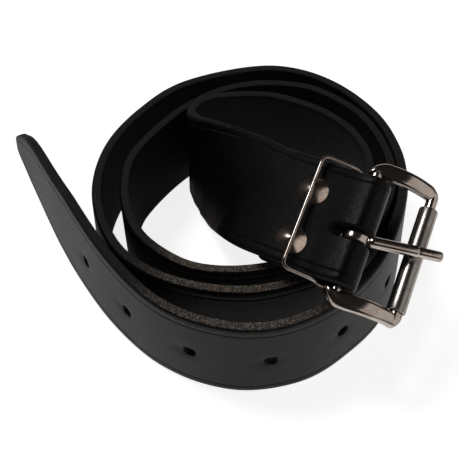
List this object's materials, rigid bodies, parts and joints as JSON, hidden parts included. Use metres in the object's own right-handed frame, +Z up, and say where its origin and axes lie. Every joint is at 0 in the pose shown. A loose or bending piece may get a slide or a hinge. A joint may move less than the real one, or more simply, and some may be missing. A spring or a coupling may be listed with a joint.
{
  "type": "work belt",
  "caption": "Heavy leather work belt rolled up on its edge, with a pointed tail, punched holes, a riveted end and a roller buckle with a single tongue.",
  "frame": {"origin": "on the floor that the rolled-up belt stands on, under the middle of its footprint", "axes": "+Z up; +X along the footprint's longer side, from the tail towards the buckle; +Y away from the side that the tail turn runs along"},
  "size_m": [0.165, 0.1378, 0.0679],
  "materials": {
    "leather": "smooth black grain with raw grey edges",
    "nickel": "polished nickel plate"
  },
  "bodies": {
    "belt": {"strap": "leather", "buckle_frame": "nickel", "rivet_lower": "nickel", "rivet_upper": "nickel"},
    "roller_tube": {"roller": "nickel"},
    "tongue_arm": {"tongue": "nickel"}
  },
  "joints": [
    {"name": "tongue_hinge", "type": "hinge", "parent": "belt", "child": "tongue_arm", "pos_m": [0.0521, -0.03742, 0.0526], "axis": [-0.3647, -0.8724, -0.3254], "range_deg": [0, 105]},
    {"name": "roller_spin", "type": "hinge", "parent": "belt", "child": "roller_tube", "pos_m": [0.0717, -0.04292, 0.04537], "axis": [0.3647, 0.8724, 0.3254], "continuous": true}
  ]
}
